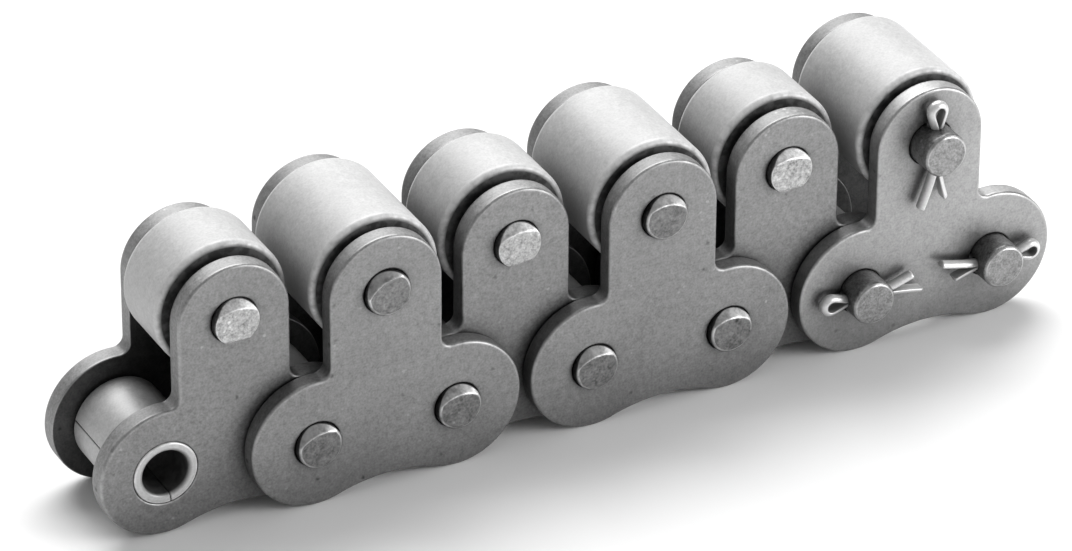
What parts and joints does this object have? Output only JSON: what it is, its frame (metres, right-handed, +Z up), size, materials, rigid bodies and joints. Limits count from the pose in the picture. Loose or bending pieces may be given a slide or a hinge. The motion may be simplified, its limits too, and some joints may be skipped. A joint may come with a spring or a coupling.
{
  "type": "top roller chain",
  "caption": "Length of steel roller chain whose links carry large free-turning rollers on lugs above the pin line, ending in a connecting link with cotter pins.",
  "frame": {"origin": "axis of the open bush at the chain's left end, at the middle of its width", "axes": "+X along the chain towards the connecting link, +Y across the chain to the back, +Z up towards the top rollers; the cotter pins are at the front, -Y"},
  "size_m": [0.1756, 0.0359, 0.0488],
  "materials": {
    "inner_plate_steel": "tumbled blank steel, matt",
    "outer_plate_steel": "tumbled blank steel, matt, slightly darker",
    "connecting_plate_steel": "smoother, lighter blank steel",
    "bush_steel": "turned, bright at the ends",
    "bush_roller_steel": "smooth satin, curled with a seam",
    "top_roller_steel": "smooth satin",
    "pin_steel": "dark hardened ends with bright staked flats",
    "top_pin_steel": "light ground ends with bright staked flats",
    "connecting_pin_steel": "sawn speckled ends with a bright chamfer",
    "cotter_steel": "bright drawn wire"
  },
  "bodies": {
    "inner_link_1": {"inner_link_1_front_plate": "inner_plate_steel", "inner_link_1_back_plate": "inner_plate_steel", "inner_link_1_left_bush": "bush_steel", "inner_link_1_right_bush": "bush_steel", "inner_link_1_top_pin": "top_pin_steel", "inner_link_1_top_sleeve": "bush_steel"},
    "inner_link_1_left_roller": {"inner_link_1_left_roller": "bush_roller_steel"},
    "inner_link_1_right_roller": {"inner_link_1_right_roller": "bush_roller_steel"},
    "inner_link_1_top_roller": {"inner_link_1_top_roller": "top_roller_steel"},
    "outer_link_1": {"outer_link_1_front_plate": "outer_plate_steel", "outer_link_1_back_plate": "outer_plate_steel", "outer_link_1_left_pin": "pin_steel", "outer_link_1_right_pin": "pin_steel", "outer_link_1_top_pin": "pin_steel", "outer_link_1_top_sleeve": "bush_steel"},
    "outer_link_1_top_roller": {"outer_link_1_top_roller": "top_roller_steel"},
    "inner_link_2": {"inner_link_2_front_plate": "inner_plate_steel", "inner_link_2_back_plate": "inner_plate_steel", "inner_link_2_left_bush": "bush_steel", "inner_link_2_right_bush": "bush_steel", "inner_link_2_top_pin": "top_pin_steel", "inner_link_2_top_sleeve": "bush_steel"},
    "inner_link_2_left_roller": {"inner_link_2_left_roller": "bush_roller_steel"},
    "inner_link_2_right_roller": {"inner_link_2_right_roller": "bush_roller_steel"},
    "inner_link_2_top_roller": {"inner_link_2_top_roller": "top_roller_steel"},
    "outer_link_2": {"outer_link_2_front_plate": "outer_plate_steel", "outer_link_2_back_plate": "outer_plate_steel", "outer_link_2_left_pin": "pin_steel", "outer_link_2_right_pin": "pin_steel", "outer_link_2_top_pin": "pin_steel", "outer_link_2_top_sleeve": "bush_steel"},
    "outer_link_2_top_roller": {"outer_link_2_top_roller": "top_roller_steel"},
    "inner_link_3": {"inner_link_3_front_plate": "inner_plate_steel", "inner_link_3_back_plate": "inner_plate_steel", "inner_link_3_left_bush": "bush_steel", "inner_link_3_right_bush": "bush_steel", "inner_link_3_top_pin": "top_pin_steel", "inner_link_3_top_sleeve": "bush_steel"},
    "inner_link_3_left_roller": {"inner_link_3_left_roller": "bush_roller_steel"},
    "inner_link_3_right_roller": {"inner_link_3_right_roller": "bush_roller_steel"},
    "inner_link_3_top_roller": {"inner_link_3_top_roller": "top_roller_steel"},
    "connecting_link": {"connecting_link_front_plate": "connecting_plate_steel", "connecting_link_back_plate": "outer_plate_steel", "connecting_link_left_pin": "connecting_pin_steel", "connecting_link_right_pin": "connecting_pin_steel", "connecting_link_top_pin": "connecting_pin_steel", "connecting_link_top_sleeve": "bush_steel", "connecting_link_left_cotter": "cotter_steel", "connecting_link_right_cotter": "cotter_steel", "connecting_link_top_cotter": "cotter_steel"},
    "connecting_link_top_roller": {"connecting_link_top_roller": "top_roller_steel"}
  },
  "joints": [
    {"name": "inner_link_1_to_outer_link_1_hinge", "type": "hinge", "parent": "inner_link_1", "child": "outer_link_1", "pos_m": [0.0254, 0, 0], "axis": [0, 1, 0], "range_deg": [-4, 45]},
    {"name": "outer_link_1_to_inner_link_2_hinge", "type": "hinge", "parent": "outer_link_1", "child": "inner_link_2", "pos_m": [0.0508, 0, 0], "axis": [0, 1, 0], "range_deg": [-4, 45]},
    {"name": "inner_link_2_to_outer_link_2_hinge", "type": "hinge", "parent": "inner_link_2", "child": "outer_link_2", "pos_m": [0.0762, 0, 0], "axis": [0, 1, 0], "range_deg": [-4, 45]},
    {"name": "outer_link_2_to_inner_link_3_hinge", "type": "hinge", "parent": "outer_link_2", "child": "inner_link_3", "pos_m": [0.1016, 0, 0], "axis": [0, 1, 0], "range_deg": [-4, 45]},
    {"name": "inner_link_3_to_connecting_link_hinge", "type": "hinge", "parent": "inner_link_3", "child": "connecting_link", "pos_m": [0.127, 0, 0], "axis": [0, 1, 0], "range_deg": [-4, 45]},
    {"name": "inner_link_1_left_roller_spin", "type": "hinge", "parent": "inner_link_1", "child": "inner_link_1_left_roller", "pos_m": [0, 0, 0], "axis": [0, 1, 0], "continuous": true},
    {"name": "inner_link_1_right_roller_spin", "type": "hinge", "parent": "inner_link_1", "child": "inner_link_1_right_roller", "pos_m": [0.0254, 0, 0], "axis": [0, 1, 0], "continuous": true},
    {"name": "inner_link_1_top_roller_spin", "type": "hinge", "parent": "inner_link_1", "child": "inner_link_1_top_roller", "pos_m": [0.0127, 0, 0.0254], "axis": [0, 1, 0], "continuous": true},
    {"name": "outer_link_1_top_roller_spin", "type": "hinge", "parent": "outer_link_1", "child": "outer_link_1_top_roller", "pos_m": [0.0381, 0, 0.0254], "axis": [0, 1, 0], "continuous": true},
    {"name": "inner_link_2_left_roller_spin", "type": "hinge", "parent": "inner_link_2", "child": "inner_link_2_left_roller", "pos_m": [0.0508, 0, 0], "axis": [0, 1, 0], "continuous": true},
    {"name": "inner_link_2_right_roller_spin", "type": "hinge", "parent": "inner_link_2", "child": "inner_link_2_right_roller", "pos_m": [0.0762, 0, 0], "axis": [0, 1, 0], "continuous": true},
    {"name": "inner_link_2_top_roller_spin", "type": "hinge", "parent": "inner_link_2", "child": "inner_link_2_top_roller", "pos_m": [0.0635, 0, 0.0254], "axis": [0, 1, 0], "continuous": true},
    {"name": "outer_link_2_top_roller_spin", "type": "hinge", "parent": "outer_link_2", "child": "outer_link_2_top_roller", "pos_m": [0.0889, 0, 0.0254], "axis": [0, 1, 0], "continuous": true},
    {"name": "inner_link_3_left_roller_spin", "type": "hinge", "parent": "inner_link_3", "child": "inner_link_3_left_roller", "pos_m": [0.1016, 0, 0], "axis": [0, 1, 0], "continuous": true},
    {"name": "inner_link_3_right_roller_spin", "type": "hinge", "parent": "inner_link_3", "child": "inner_link_3_right_roller", "pos_m": [0.127, 0, 0], "axis": [0, 1, 0], "continuous": true},
    {"name": "inner_link_3_top_roller_spin", "type": "hinge", "parent": "inner_link_3", "child": "inner_link_3_top_roller", "pos_m": [0.1143, 0, 0.0254], "axis": [0, 1, 0], "continuous": true},
    {"name": "connecting_link_top_roller_spin", "type": "hinge", "parent": "connecting_link", "child": "connecting_link_top_roller", "pos_m": [0.1397, 0, 0.0254], "axis": [0, 1, 0], "continuous": true}
  ]
}
